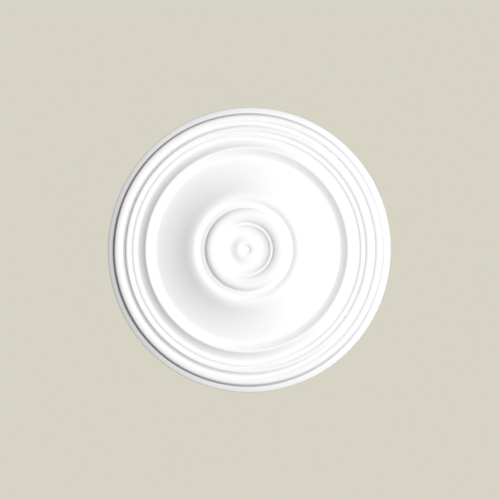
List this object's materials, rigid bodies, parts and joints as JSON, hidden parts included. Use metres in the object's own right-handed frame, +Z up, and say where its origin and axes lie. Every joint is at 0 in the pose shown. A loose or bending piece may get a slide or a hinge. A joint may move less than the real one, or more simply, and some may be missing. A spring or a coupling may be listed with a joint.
{
  "type": "ceiling rose",
  "caption": "Plain round ceiling rose moulded in one piece: stepped rim rings, a shallow dish and a bell-shaped centre with collar and boss.",
  "frame": {"origin": "centre of the flat back, on the ceiling", "axes": "+Z up into the ceiling along the rose's axis of revolution; the moulded face looks down, along -Z"},
  "size_m": [0.4, 0.4, 0.0355],
  "materials": {
    "white_coat": "matte white primer on a moulded, smooth body"
  },
  "bodies": {
    "root": {"ceiling_rose": "white_coat"}
  },
  "joints": []
}
